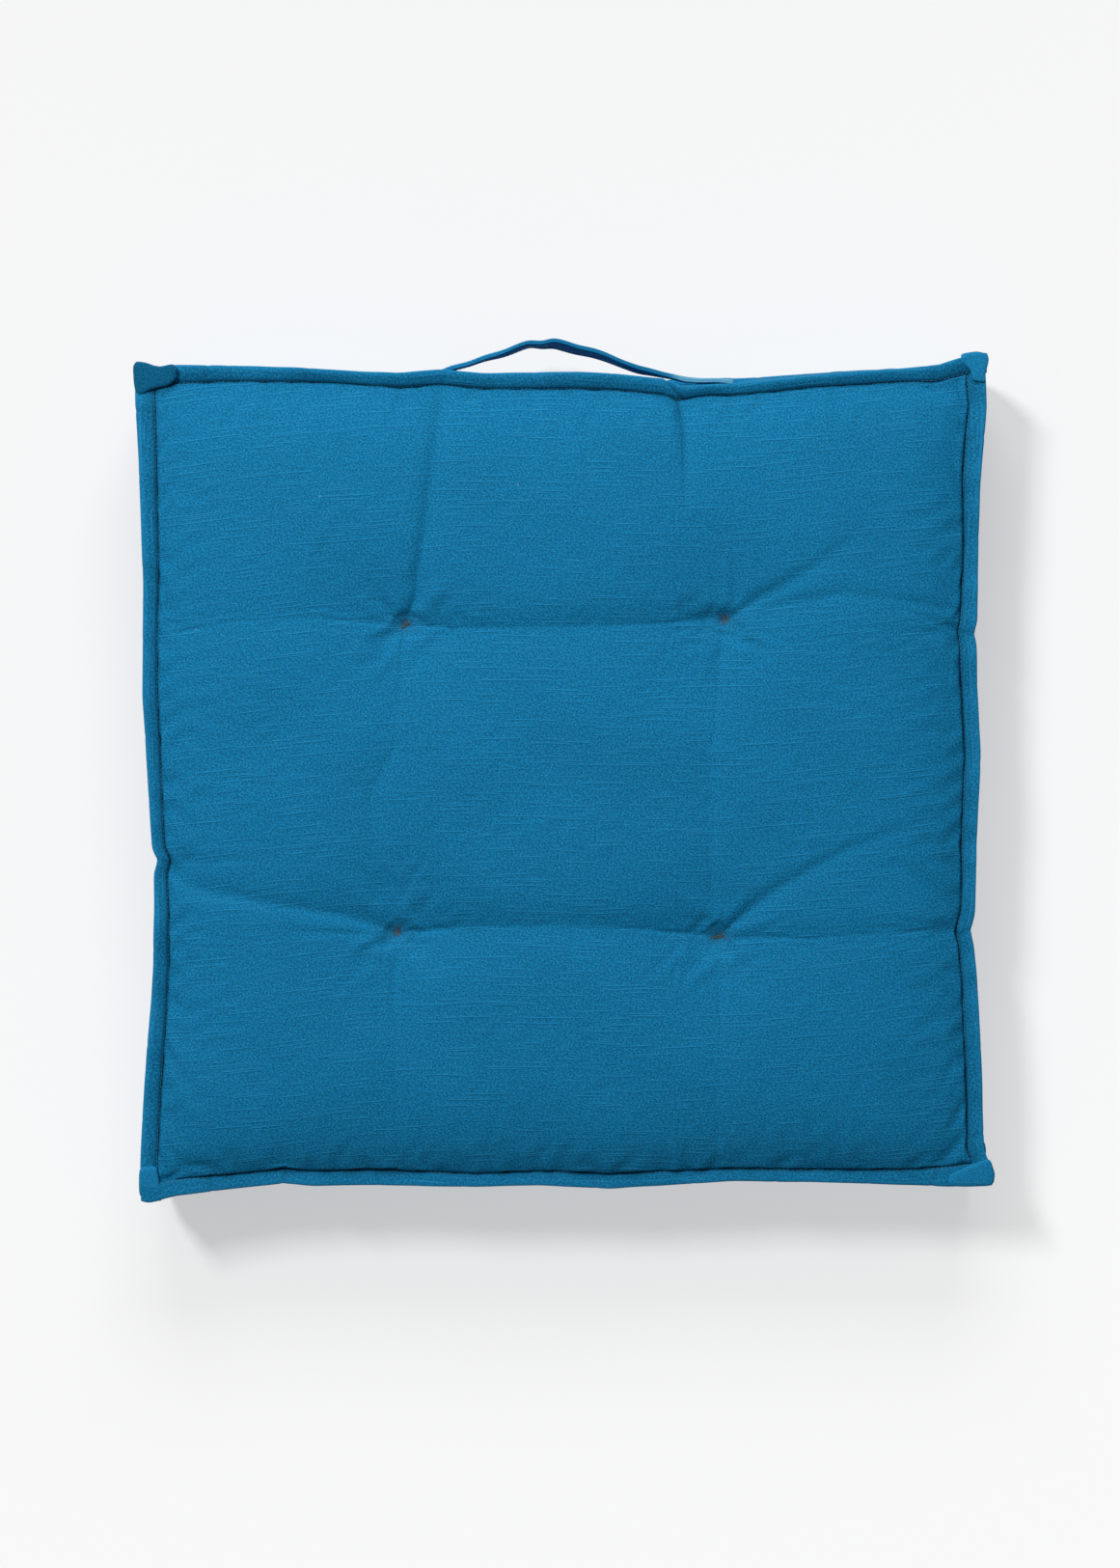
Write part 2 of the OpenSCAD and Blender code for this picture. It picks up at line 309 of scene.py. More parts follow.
class Nodes:
    """A short way to build the node tree of an owner, which is a material or the world."""

    def __init__(self, owner):
        self.owner = owner
        owner.use_nodes = True
        self.tree = owner.node_tree

    def node(self, kind, **settings):
        n = self.tree.nodes.new(kind)
        for key, value in settings.items():
            if key in n.inputs:
                n.inputs[key].default_value = value
            else:
                setattr(n, key, value)
        return n

    def link(self, out, into):
        self.tree.links.new(out, into)

    def put(self, value, socket):
        """Gives a socket a colour, a number or another node's output."""
        if isinstance(value, tuple):
            socket.default_value = (*value, 1)
        elif isinstance(value, (int, float)):
            socket.default_value = value
        else:
            self.link(value, socket)

    def maths(self, operation, a, b=0.0):
        n = self.node("ShaderNodeMath", operation=operation)
        self.put(a, n.inputs[0])
        self.put(b, n.inputs[1])
        return n.outputs[0]

    def plus(self, a, b):
        return self.maths("ADD", a, b)

    def times(self, a, b):
        return self.maths("MULTIPLY", a, b)

    def texture(self, kind, vector, output, **settings):
        n = self.node(kind, **settings)
        self.link(vector, n.inputs["Vector"])
        return n.outputs[output]

    def cloth_mm(self, along=1, across=1, turn=0.0, shift=(0, 0, 0)):
        """Cloth coordinates in millimetres, times along and across."""
        uv = self.node("ShaderNodeUVMap", uv_map="cloth").outputs["UV"]
        place = {"Scale": (1000 * along, 1000 * across, 1000), "Rotation": (0, 0, turn), "Location": shift}
        return self.texture("ShaderNodeMapping", uv, "Vector", **place)

    def noise(self, vector, detail=2.0):
        return self.texture("ShaderNodeTexNoise", vector, "Fac", Scale=1.0, Detail=detail, Roughness=0.5)

    def ramp(self, value, low, high):
        """0 below low and 1 above high."""
        n = self.node("ShaderNodeMapRange", **{"From Min": low, "From Max": high})
        self.link(value, n.inputs["Value"])
        return n.outputs["Result"]

    def mix(self, share, a, b):
        n = self.node("ShaderNodeMix", data_type="RGBA")
        for index, value in ((0, share), (6, a), (7, b)):
            self.put(value, n.inputs[index])
        return n.outputs[2]

    def blend_in(self, tone, value, low, high, amount, colour):
        """Mixes colour into tone by up to amount, as value goes from low to high."""
        return self.mix(self.times(self.ramp(value, low, high), amount), tone, colour)

    def thick_picks(self, pitch, length, amount):
        """Slubs: each row of thread is thick in random places. Gives the lit upper and shaded lower part."""
        place = self.node("ShaderNodeSeparateXYZ")
        self.link(self.cloth_mm(), place.inputs[0])
        sway = self.times(self.noise(self.cloth_mm(0.012, 0.02), 1.0), 6.0)
        rows = self.maths("DIVIDE", self.plus(place.outputs["Y"], sway), pitch)
        row, within = self.maths("FLOOR", rows), self.maths("FRACT", rows)
        start = self.node("ShaderNodeTexWhiteNoise", noise_dimensions="1D")
        self.link(row, start.inputs["W"])
        along = self.maths("DIVIDE", place.outputs["X"], length)
        along = self.plus(along, self.times(start.outputs["Value"], 900.0))
        spot = self.node("ShaderNodeCombineXYZ")
        self.link(along, spot.inputs["X"])
        self.link(self.times(row, 7.3), spot.inputs["Y"])
        thick = self.times(self.ramp(self.noise(spot.outputs[0], 0.0), 0.60, 0.70), amount)
        lit = self.ramp(within, 0.40, 0.60)
        return self.times(thick, lit), self.times(thick, self.maths("SUBTRACT", 1.0, lit))

    def set_shader(self, values, name="Principled BSDF"):
        shader = self.tree.nodes[name]
        for key, value in values.items():
            self.put(value, shader.inputs[key])

    def surface(self, tone, height, strength, distance, shine):
        """Joins colour and bump to the shader, and sets the rest of it from shine."""
        bump = self.node("ShaderNodeBump", Strength=strength, Distance=distance)
        self.link(height, bump.inputs["Height"])
        self.set_shader({"Base Color": tone, "Normal": bump.outputs["Normal"], **shine})


def cotton(name, colour, slub=1.0):
    """Slub cotton: a crepe-like weave whose thicker threads run along the cloth's first direction."""
    m = Nodes(bpy.data.materials.new(name))
    shade = {share: scaled(colour, share) for share in (0.30, 0.55, 0.80, 0.95, 1.05)}
    pale = tuple(c * 1.50 + 0.008 for c in colour)
    # Tones for the marks: dark fluff with painted shade for the tufts' holes, and a pale blue painted
    # highlight for the strap's lit top edge.
    fluff_and_hole_shade_tone, painted_edge_highlight = (0.028, 0.064, 0.088), (0.13, 0.38, 0.54)
    cloud = m.noise(m.cloth_mm(0.012, 0.016), 3.0)
    grain = m.noise(m.cloth_mm(0.80, 0.95, turn=0.35), 1.0)
    fine = m.noise(m.cloth_mm(1.9, 2.1, turn=0.9), 1.0)
    slub_lit, slub_shaded = m.thick_picks(pitch=1.35, length=36.0, amount=slub)
    picks = m.noise(m.cloth_mm(0.05, 1.1, shift=(9, 4, 0)))
    ends = m.noise(m.cloth_mm(0.60, 0.020, shift=(3, 7, 0)))

    tone = m.mix(m.ramp(cloud, 0.30, 0.70), shade[0.95], shade[1.05])
    tone = m.blend_in(tone, picks, 0.50, 0.66, 0.60 * slub, shade[0.80])
    tone = m.blend_in(tone, ends, 0.55, 0.75, 0.22 * slub, shade[0.80])
    tone = m.blend_in(tone, grain, 0.50, 0.68, 0.90, pale)
    tone = m.blend_in(tone, grain, 0.50, 0.32, 0.90, shade[0.55])
    tone = m.mix(m.times(slub_shaded, 0.55), tone, shade[0.55])
    tone = m.mix(m.times(slub_lit, 0.85), tone, pale)
    spread_out = m.cloth_mm(0.021, 0.021, shift=(2, 5, 0))
    lint = m.texture("ShaderNodeTexVoronoi", spread_out, "Distance", Scale=1.0)
    tone = m.blend_in(tone, lint, 0.020, 0.012, 0.5, (0.24, 0.33, 0.38))
    # Marks mixed into the colour: tuft fluff with painted shade in the holes, painted shade in creases, seams
    # and pinches, and painted highlights on lit edges.
    for mark_name, tint in (("tuft_fluff_and_hole_shade", fluff_and_hole_shade_tone), ("painted_shade", shade[0.30]), ("painted_highlight", pale), ("painted_edge_highlight", painted_edge_highlight)):
        share = m.node("ShaderNodeAttribute", attribute_name=mark_name)
        tone = m.mix(share.outputs["Fac"], tone, tint)

    height = m.plus(m.plus(m.times(grain, 0.9), m.times(fine, 0.4)), m.times(slub_lit, 0.4))
    m.surface(tone, height, 0.6, 0.0005, {
        "Roughness": m.ramp(grain, -1.6, 1.2), "Specular IOR Level": 0.05,
        "Sheen Weight": 0.03, "Sheen Roughness": 0.45, "Sheen Tint": (0.20, 0.70, 1.0),
    })
    return m.owner


def thread_material(name, colour):
    """Twisted thread: fine diagonal plies and a little fuzz."""
    m = Nodes(bpy.data.materials.new(name))
    place = m.node("ShaderNodeTexCoord").outputs["Object"]
    diagonal = {"Scale": 900.0, "Distortion": 1.5, "bands_direction": "DIAGONAL"}
    plies = m.texture("ShaderNodeTexWave", place, "Fac", **diagonal)
    fuzz = m.texture("ShaderNodeTexNoise", place, "Fac", Scale=1400.0, Detail=3.0)
    tone = m.mix(plies, scaled(colour, 0.62), colour)
    tone = m.mix(m.times(fuzz, 0.5), tone, scaled(colour, 1.25))
    shine = {"Roughness": m.ramp(fuzz, -2.0, 1.6), "Specular IOR Level": 0.3, "Sheen Weight": 0.2}
    m.surface(tone, plies, 0.5, 0.0002, shine)
    return m.owner


def fibre_material(name, colour):
    """Carded wadding: pale matted fibres with soft darker gaps."""
    m = Nodes(bpy.data.materials.new(name))
    place = m.node("ShaderNodeTexCoord").outputs["Object"]
    matted = {"Scale": 260.0, "Detail": 6.0, "Roughness": 0.75, "Distortion": 2.5}
    strands = m.texture("ShaderNodeTexNoise", place, "Fac", **matted)
    clumps = m.texture("ShaderNodeTexNoise", place, "Fac", Scale=28.0, Detail=3.0)
    tone = m.mix(m.ramp(strands, 0.35, 0.65), scaled(colour, 0.72), colour)
    tone = m.mix(m.times(clumps, 0.35), tone, scaled(colour, 0.85))
    shine = {"Roughness": 0.95, "Specular IOR Level": 0.1, "Sheen Weight": 0.3}
    m.surface(tone, strands, 0.8, 0.002, shine)
    return m.owner


DYE = (0.0045, 0.157, 0.325)
MATERIALS = {
    "cover_cloth": cotton("cover slub cotton", DYE),
    "flange_cloth": cotton("flange slub cotton", scaled(DYE, 0.98), slub=0.7),
    "band_cloth": cotton("band slub cotton", scaled(DYE, 0.95)),
    "strap_cloth": cotton("strap cotton", scaled(DYE, 0.88), slub=0.5),
    "stitch_thread": thread_material("blue sewing thread", (0.035, 0.23, 0.40)),
    "tuft_twine": thread_material("tuft twine", (0.075, 0.095, 0.10)),
    "wadding": fibre_material("carded wadding", (0.86, 0.85, 0.80)),
}

# ---------- camera, light and floor ----------

CAMERA_HEIGHT = 2.20
FRAME_TALL = 1.105  # metres of the flange's level that the picture's height takes in

camera = new_object("camera", bpy.data.cameras.new("camera"))
camera.location = (-0.0020, -0.0037, CAMERA_HEIGHT)
camera.data.sensor_width = 36.0
camera.data.lens = camera.data.sensor_width * (CAMERA_HEIGHT - TOP_FLANGE_Z) / FRAME_TALL
scene.camera = camera
scene.view_settings.view_transform = "Standard"


def add_softbox(name, towards, distance, width, height, power):
    """A soft rectangular lamp that faces the cushion from the direction towards it."""
    place = Vector(towards).normalized() * distance
    light = bpy.data.lights.new(name, "AREA")
    light.shape = "RECTANGLE"
    light.energy = power
    light.size = width
    light.size_y = height
    obj = new_object(name, light)
    obj.location = place
    obj.rotation_euler = place.to_track_quat("Z", "Y").to_euler()
    return obj


# The window on the upper left makes the shadow; the wide lamp behind the handle shapes the pillow's slopes.
LAMPS = [
    add_softbox("key light", (-41, 43.5, 84), 4.2, 0.55, 0.95, 112),
    add_softbox("back light", (0, 0.80, 0.60), 3.0, 1.8, 1.2, 49),
]
# How bright the even light from all round is, and the wall that the camera sees in its place.
SKY = 0.15
WALL = 0.95


def make_surroundings():
    """Faint even light from all round, which the camera sees as a wall as pale as the floor."""
    w = Nodes(bpy.data.worlds.new("studio"))
    seen = w.node("ShaderNodeLightPath").outputs["Is Camera Ray"]
    strength = w.plus(w.times(seen, WALL - SKY), SKY)
    w.set_shader({"Color": (0.97, 0.985, 1.0), "Strength": strength}, "Background")
    scene.world = w.owner


FLOOR_GREY = 0.50
FLOOR_BRIGHTNESS = 0.950


def lamp_on_floor(m, place, lamp):
    """How brightly a lamp lights a white floor at each place, as a node value."""
    to_lamp = m.node("ShaderNodeVectorMath", operation="SUBTRACT")
    to_lamp.inputs[0].default_value = lamp.location
    m.link(place, to_lamp.inputs[1])
    distance = m.node("ShaderNodeVectorMath", operation="LENGTH")
    m.link(to_lamp.outputs[0], distance.inputs[0])
    facing = m.node("ShaderNodeVectorMath", operation="DOT_PRODUCT")
    m.link(to_lamp.outputs[0], facing.inputs[0])
    facing.inputs[1].default_value = Vector(lamp.location).normalized() * lamp.location[2]
    spread = m.maths("POWER", distance.outputs["Value"], 4.0)
    share = m.maths("DIVIDE", facing.outputs["Value"], spread)
    return m.times(share, lamp.data.energy / math.pi**2)


def make_floor():
    """A pale floor that glows a little more where the lamps reach it less, so it looks evenly white."""
    reach = 4.0
    mesh = bpy.data.meshes.new("floor")
    corners = [(-reach, -reach, 0), (reach, -reach, 0), (reach, reach, 0), (-reach, reach, 0)]
    mesh.from_pydata(corners, [], [(0, 1, 2, 3)])
    floor = new_object("floor", mesh)
    m = Nodes(bpy.data.materials.new("pale floor"))
    place = m.node("ShaderNodeTexCoord").outputs["Object"]
    lit = m.plus(lamp_on_floor(m, place, LAMPS[0]), lamp_on_floor(m, place, LAMPS[1]))
    lit = m.times(m.plus(lit, SKY), FLOOR_GREY)
    m.set_shader({
        "Base Color": (FLOOR_GREY, FLOOR_GREY, FLOOR_GREY), "Roughness": 1.0, "Specular IOR Level": 0.0,
        "Emission Color": (1, 1, 1), "Emission Strength": m.maths("SUBTRACT", FLOOR_BRIGHTNESS, lit),
    })
    mesh.materials.append(m.owner)


make_surroundings()
make_floor()

# ---------- top and bottom covers ----------


def stations(count, dense):
    """Grid lines from -1 to 1 that crowd together at places given as (place, spread, gain)."""
    fine = np.linspace(-1, 1, 4001)
    density = 1 + 0 * fine
    for place, spread, gain in dense:
        density = density + gain * fade(fine - place, spread)
    reach = np.concatenate([[0], np.cumsum((density[1:] + density[:-1]) / 2)])
    return np.interp(np.linspace(0, reach[-1], count), reach, fine)


def rolled(away, width):
    """From 0 at the seams up to 1 at width from them, like a rolled edge."""
    return math.prod(rounded(d, width) for d in away)


def cover_plan(level, u, v):
    """Plan positions of a grid that fills the seam outline, and the distance of each from the four seams."""
    x, y = u * HALF * 0.95, v * HALF * 0.95
    for _ in range(8):
        right = seam_distance(level, "right", y)
        left = -seam_distance(level, "left", y)
        back = seam_distance(level, "back", x)
        front = -seam_distance(level, "front", x)
        x = left + (right - left) * (u + 1) / 2
        y = front + (back - front) * (v + 1) / 2
    away = [x - left, right - x, y - front, back - y]
    return x, y, [np.maximum(d, 0) for d in away]


def along_fold(x, y, points):
    """Distances from a fold through points, the side they lie on from -1 to 1, and their shares along it."""
    nearest = np.full(x.shape, 1e9)
    turn, share = np.zeros(x.shape), np.zeros(x.shape)
    lengths = [math.dist(a, b) for a, b in zip(points, points[1:])]
    done = 0.0
    for (a, b), length in zip(zip(points, points[1:]), lengths):
        dx, dy = (b[0] - a[0]) / length, (b[1] - a[1]) / length
        t = np.clip((x - a[0]) * dx + (y - a[1]) * dy, 0, length)
        px, py = x - (a[0] + t * dx), y - (a[1] + t * dy)
        distance = np.hypot(px, py)
        closer = distance < nearest
        nearest = np.where(closer, distance, nearest)
        turn = np.where(closer, (dx * py - dy * px) / np.maximum(distance, 1e-9), turn)
        share = np.where(closer, (done + t) / sum(lengths), share)
        done += length
    return nearest, turn, share


# Folds as (points, depth at the start, depth at the end, width), all in millimetres.
PLEAT = ([(86, 180), (86, 215), (85.5, 243), (83.5, 253), (80, 268)], 0.2, 5.2, 5)
FOLDS = [
    PLEAT,
    ([(-286, -288), (-267, -273), (-238, -270)], 3.0, 0.6, 5),
    ([(-111, 108), (-103, 129), (-95, 184), (-84, 276)], 4.2, 3.0, 8),
    ([(-111, 108), (-60, 105), (0, 106), (60, 108), (113.5, 112)], 4.5, 4.5, 17),
    ([(113.5, 112), (104, 150), (92, 190)], 1.6, 0.3, 12),
    ([(113.5, 112), (142, 128), (180, 151), (204, 169)], 3.6, 0.4, 7),
    ([(113.5, 112), (142, 121), (198, 129), (286, 118)], 2.4, 0.4, 8),
    ([(-111, 108), (-115, 60), (-118, 20), (-134, -10), (-132, -50), (-122, -80), (-116.5, -108)],
     1.8, 2.2, 10),
    ([(-116.5, -108), (-155, -96), (-210, -87), (-259, -77), (-280, -62)], 3.8, 2.2, 8),
    ([(-116.5, -108), (-145, -109), (-199, -106)], 2.2, 0.3, 7),
    ([(-116.5, -108), (-60, -104), (0, -103), (60, -106), (109, -111)], 4.5, 4.5, 17),
    ([(109, -111), (142, -82), (176, -62), (200, -49), (234, -36)], 3.6, 0.5, 7),
    ([(-111, 108), (-170, 112), (-230, 110), (-285, 100)], 2.0, 0.8, 14),
    ([(109, -111), (170, -112), (230, -108), (284, -107)], 2.4, 1.4, 12),
    ([(113.5, 112), (108, 60), (103, 0), (103, -60), (109, -111)], 1.8, 1.8, 10),
    ([(109, -111), (110, -170), (108, -268)], 1.6, 0.8, 12),
    ([(-116.5, -108), (-118, -150), (-116, -268)], 2.0, 0.6, 10),
    ([(240, 118), (262, 110), (286, 101)], 0.4, 1.6, 6),
    ([(236, -60), (262, -80), (284, -104)], 0.3, 1.6, 6),
]
TUFT_WIDE, TUFT_NARROW = 8.5, 1.6


def top_height(x, y, away):
    """The filled cover's height over the floor, before its wrinkles settle."""
    roll = rolled(away, 2.8 * MM)
    crown = math.prod(1 - fade(d, 26 * MM, 1) for d in away)
    open_corner = near_corner(x) * near_corner(y)
    seam_z = TOP_FLANGE_Z - (1.9 - 1.7 * open_corner) * MM
    edge_rise = (4.0 - 2.9 * open_corner) * MM
    height = seam_z + edge_rise * roll + (CROWN_Z - seam_z - edge_rise) * crown
    xm, ym = x / MM, y / MM
    sunk = (0.30 * ripple(xm, ym, 85, 3) + 0.05 * ripple(xm, ym, 24, 4)) * crown
    folds = 0.0
    for points, start, end, width in FOLDS:
        distance, turn, share = along_fold(xm, ym, points)
        depth = start + (end - start) * share
        reach = width * (1.025 - 0.275 * turn)
        folds = folds + (depth * fade(distance, reach, 1.35)) ** 3
    sunk = sunk + np.cbrt(folds) * roll
    for r in tuft_distances(x, y):
        sunk = sunk + TUFT_WIDE * fade(r, 46, 1.5) + TUFT_NARROW * fade(r, 4, 1)
    pucker = ripple(xm + 0.35 * ym, ym - 0.35 * xm, 17, 8)
    near_seam = fade(np.min(away, axis=0), 10 * MM, 1) * roll
    return height - sunk * MM + 0.50 * MM * pucker * near_seam


SETTLE_FRAMES = 18
SETTLE_CAP = 1.5 * MM  # the farthest that any point may move
# The cloth's stiffness in the simulation; the negative shrink makes it a little too large, and so wrinkle.
CLOTH = {
    "quality": 5, "mass": 0.15, "tension_stiffness": 20, "compression_stiffness": 20, "shear_stiffness": 6,
    "bending_stiffness": 2.0, "vertex_group_mass": "hold", "pin_stiffness": 1.0, "shrink_min": -0.008,
}


def settle(obj, hold):
    """Lets the cover wrinkle by cloth simulation, held softly to its filled shape."""
    before = np.array([v.co for v in obj.data.vertices])
    group = obj.vertex_groups.new(name="hold")
    for index, weight in enumerate(hold):
        group.add([index], float(weight), "REPLACE")
    mod = obj.modifiers.new("settle", "CLOTH")
    for setting, value in CLOTH.items():
        setattr(mod.settings, setting, value)
    mod.settings.effector_weights.gravity = 0
    mod.collision_settings.use_collision = False
    mod.collision_settings.use_self_collision = False
    mod.point_cache.frame_start = 1
    mod.point_cache.frame_end = SETTLE_FRAMES
    for frame_number in range(1, SETTLE_FRAMES + 1):
        scene.frame_set(frame_number)
    settled = obj.evaluated_get(bpy.context.evaluated_depsgraph_get()).data
    move = np.array([v.co for v in settled.vertices]) - before
    length = np.linalg.norm(move, axis=1, keepdims=True)
    move = move * np.minimum(1, SETTLE_CAP / np.maximum(length, 1e-9))
    obj.modifiers.remove(mod)
    obj.vertex_groups.remove(group)
    obj.data.vertices.foreach_set("co", (before + move).astype(np.float32).ravel())
    obj.data.update()
    scene.frame_set(1)


def top_cover():
    dense = [(-0.39, 0.05, 1.5), (0.39, 0.05, 1.5), (-1, 0.03, 4.5), (1, 0.03, 4.5)]
    u, v = np.meshgrid(stations(190, dense + [(0.285, 0.02, 3.0)]), stations(184, dense))
    x, y, away = cover_plan("top", u, v)
    z = top_height(x, y, away)
    bow = 0.05 * x + 4.6 * MM * np.sin((x + 230 * MM) / (76 * MM))
    uvs = listed(x, y - bow)
    faces = grid_faces(*u.shape)
    obj = make_piece("top_cover", listed(x, y, z), faces, "top", "cover_cloth", uvs, ["top_panel"])
    # Darker round each tuft: fluff that the twine pulls up, with painted shade in the tuft's hole at its
    # middle.
    tuft_fluff_and_hole_shade = 0.0
    for r in tuft_distances(x, y, stretch=1.5):
        tuft_fluff_and_hole_shade = tuft_fluff_and_hole_shade + 0.40 * fade(r, 2.6) + 0.12 * fade(r, 8)
    mark(obj, "tuft_fluff_and_hole_shade", tuft_fluff_and_hole_shade)
    from_seam = np.min(away, axis=0)
    open_corner = near_corner(x) * near_corner(y)
    # Painted shade on the cover: a dark line in the crease along the seams, fainter at the corners, a soft
    # darkening where the cover drops to the back and front seams, and a line along the pleat's deep end.
    shaded = 0.20 * fade(away[3], 9 * MM, 1) + 0.12 * fade(away[2], 10 * MM, 1)
    distance, _, share = along_fold(x / MM, y / MM, PLEAT[0])
    shaded = shaded + 0.5 * share**3 * fade(distance, 1.8)
    crease = 0.75 * fade(from_seam, 1.3 * MM) * (1 - 0.9 * open_corner)
    mark(obj, "painted_shade", crease + shaded)
    hold = 0.30 - 0.25 * fade(from_seam, 22 * MM, 1)
    for r in tuft_distances(x, y):
        hold = np.maximum(hold * (1 - 0.8 * fade(r, 40)), fade(r, 6))
    hold[[0, -1], :] = 1
    hold[:, [0, -1]] = 1
    settle(obj, hold.ravel())
    thicken(obj)


def bottom_cover():
    grid = stations(90, [(place, 0.05, 1.2) for place in (-1, -0.39, 0.39, 1)])
    u, v = np.meshgrid(grid, grid)
    x, y, away = cover_plan("bottom", u, v)
    rise = np.clip(1 - np.min(away, axis=0) / (34 * MM), 0, 1) ** 2.2
    z = (BOTTOM_FLANGE_Z + 0.3 * MM) * rise
    for r in tuft_distances(x, y):
        z = z + 5.0 * MM * fade(r, 9, 1.4)
    z = np.where(z < 0.05 * MM, 0, z)
    faces, uvs = turned(grid_faces(*u.shape)), listed(x, y)
    obj = make_piece("bottom_cover", listed(x, y, z), faces, "base", "cover_cloth", uvs, ["bottom_panel"])
    thicken(obj)


# ---------- flanges ----------

# The folded strip's section, as shares of its width (outwards from the seam) and of half its thickness.
FLANGE_SECTION = [
    (-0.12, -0.75), (0.0, -0.55), (0.06, 0.05), (0.14, 0.42), (0.30, 0.62), (0.60, 0.82), (0.88, 0.92),
    (0.965, 0.70), (1.0, 0.12), (0.985, -0.55), (0.90, -0.90), (0.50, -1.0), (0.20, -0.95), (0.0, -0.88),
]
# How much higher each side's outer edge lies than its seam, in millimetres.
FLANGE_TILT = {"front": 0.1, "right": 0.6, "back": 2.3, "left": 0.9}
# Where the folded strip is pinched across: the place, the strength, and how far the pinch slants.
PINCHES = {
    "front": [(-248, 0.9, 2), (-196, 1.2, -3), (-131, 0.5, 2), (-70, 0.4, 0), (22, 0.8, 3), (92, 0.5, 0),
              (150, 0.7, -2), (214, 0.4, 2), (262, 0.9, -4)],
    "right": [(-251, 0.8, 3), (-190, 0.4, 0), (-108, 1.4, 3), (-62, 0.4, 0), (12, 0.6, -2), (66, 0.4, 0),
              (103, 1.2, -3), (170, 0.5, 2), (240, 0.8, 3)],
    "back": [(-251, 1.0, 2), (-235, 0.6, -2), (-180, 0.5, 2), (-118, 0.4, 0), (-84, 1.0, 2), (-20, 0.5, 0),
             (34, 0.4, 0), (79.5, 3.2, -12), (140, 0.9, 5), (196, 0.5, 0), (262, 1.0, 4)],
    "left": [(259, 1.1, 0), (212, 0.4, 2), (148, 0.5, 0), (96, 0.4, 2), (30, 0.6, 0), (-14, 0.4, 0),
             (-58, 1.6, 3), (-120, 0.5, 0), (-186, 0.8, -2), (-240, 0.5, 0)],
}


def pinched(side, along, share):
    """How strongly the strip is pinched at distances along it, share of the way out from its seam."""
    total = 0.0
    for place, strength, slant in PINCHES[side]:
        total = total + strength * fade(along / MM - place - slant * (share - 0.5), 1.7)
    return total


def flange_centre(level, side, along):
    """Height of the flange's middle, with its small waves."""
    seed = SIDES.index(side) + (40 if level == "top" else 50)
    middle = TOP_FLANGE_Z if level == "top" else BOTTOM_FLANGE_Z
    wave = 0.8 * ripple(along / MM, 0 * along, 90, seed) + 0.35 * ripple(along / MM, 0 * along, 28, seed + 1)
    return middle + wave * MM


def strip_point(side, along, out, z):
    """Points at distances along a side, out from the cushion's middle and at height z."""
    ax, ay = ALONG[side]
    nx, ny = OUTWARD[side]
    return np.stack([ax * along + nx * out, ay * along + ny * out, z + 0 * along], axis=-1)


def corner_reach(level, side):
    """Where a strip's two ends lie, at the outer edges of the strips that it meets."""
    low_side, high_side, sign = neighbours(side)
    at = sign * (HALF - 6 * MM)
    low, high = edge_distance(level, low_side, at), edge_distance(level, high_side, at)
    return 0.3 * MM - float(low), float(high) - 0.3 * MM


def near_corner(along):
    """From 0 along a side to 1 at its corners, where the crease opens and the stitches show."""
    return fade(np.maximum(HALF - 14 * MM - np.abs(along), 0), 34 * MM)


def strip_lap(low, high, along):
    """How near each place is to the strip's ends, where it lies over or under its neighbour."""
    return fade(np.minimum(along - low, high - along), 13 * MM, 4)


def strip_height(level, side, along, lap, share, up):
    """Height of a point of the folded strip, share of the way out and up half thicknesses from its middle."""
    over = 1.25 * MM * lap * (1 if side in ("front", "back") else -1)
    pinch = pinched(side, along, share) if level == "top" else 0 * along
    thick = (2.3 - 0.9 * lap - 0.5 * np.minimum(pinch, 2.6)) * MM
    tilt = 0.6 * ripple(along / MM, 0 * along, 60, SIDES.index(side) + 71)
    tilt = tilt + (FLANGE_TILT[side] * (1 - lap) if level == "top" else 0)
    return flange_centre(level, side, along) + over + up * thick + tilt * (share - 0.5) * MM


def flange(level, side):
    """One folded strip of the top or bottom flange, with its folded end at a corner of the top one."""
    low, high = corner_reach(level, side)
    along = np.linspace(low, high, 440 if level == "top" else 200)[:, None]
    share, up = np.array(FLANGE_SECTION).T
    edge = edge_distance(level, side, along) - 0.35 * MM * pinched(side, along, 1.0)
    width = flange_width(level, side, along)
    lap = strip_lap(low, high, along)
    plump = 0.45 + 0.55 * rounded(np.minimum(along - low, high - along), 1.6 * MM)
    z = strip_height(level, side, along, lap, share, up * plump)
    verts = strip_point(side, along, edge - width + share * width, z).reshape(-1, 3)
    # Painted shade on the strip: darker towards the seam below the rising cover, darkest in the crease beside
    # the seam but less at the corners, and in the pinches.
    crease = 0.45 * fade(share, 0.10) * (1 - 0.85 * near_corner(along))
    painted_shade = 0.30 * np.clip(1 - share, 0, 1) + crease + 0.24 * pinched(side, along, share)
    # Painted highlight along the strip's outer edge, where the bright floor lights it more.
    painted_highlight = 0.36 * fade(share - 1, 0.28) + 0 * along
    faces = outward(side, tube_faces(len(along), len(FLANGE_SECTION)))
    uvs = section_uvs(along, FLANGE_SECTION, 0.006, (0.35, 0.7))
    if level == "top":
        outline, lift, slope, fold_shade = CORNER_FOLDS[side]
        more_verts, more_faces = folded_end(outline, TOP_FLANGE_Z + lift * MM, slope)
        faces += [tuple(len(verts) + i for i in face) for face in more_faces]
        uvs = np.concatenate([uvs, more_verts[:, :2] + 0.5])
        verts = np.concatenate([verts, more_verts])
        # A folded end gets its painted shade, and one without shade gets a painted highlight.
        painted_shade = np.append(painted_shade, np.full(len(more_verts), fold_shade))
        painted_highlight = np.append(painted_highlight, np.full(len(more_verts), 0.0 if fold_shade else 0.3))
    name, nodes = f"{level}_flange_{side}", [f"{level}_edge_{side}"]
    obj = make_piece(name, verts, faces, BODY[level], "flange_cloth", uvs, nodes)
    mark(obj, "painted_shade", painted_shade)
    mark(obj, "painted_highlight", painted_highlight)


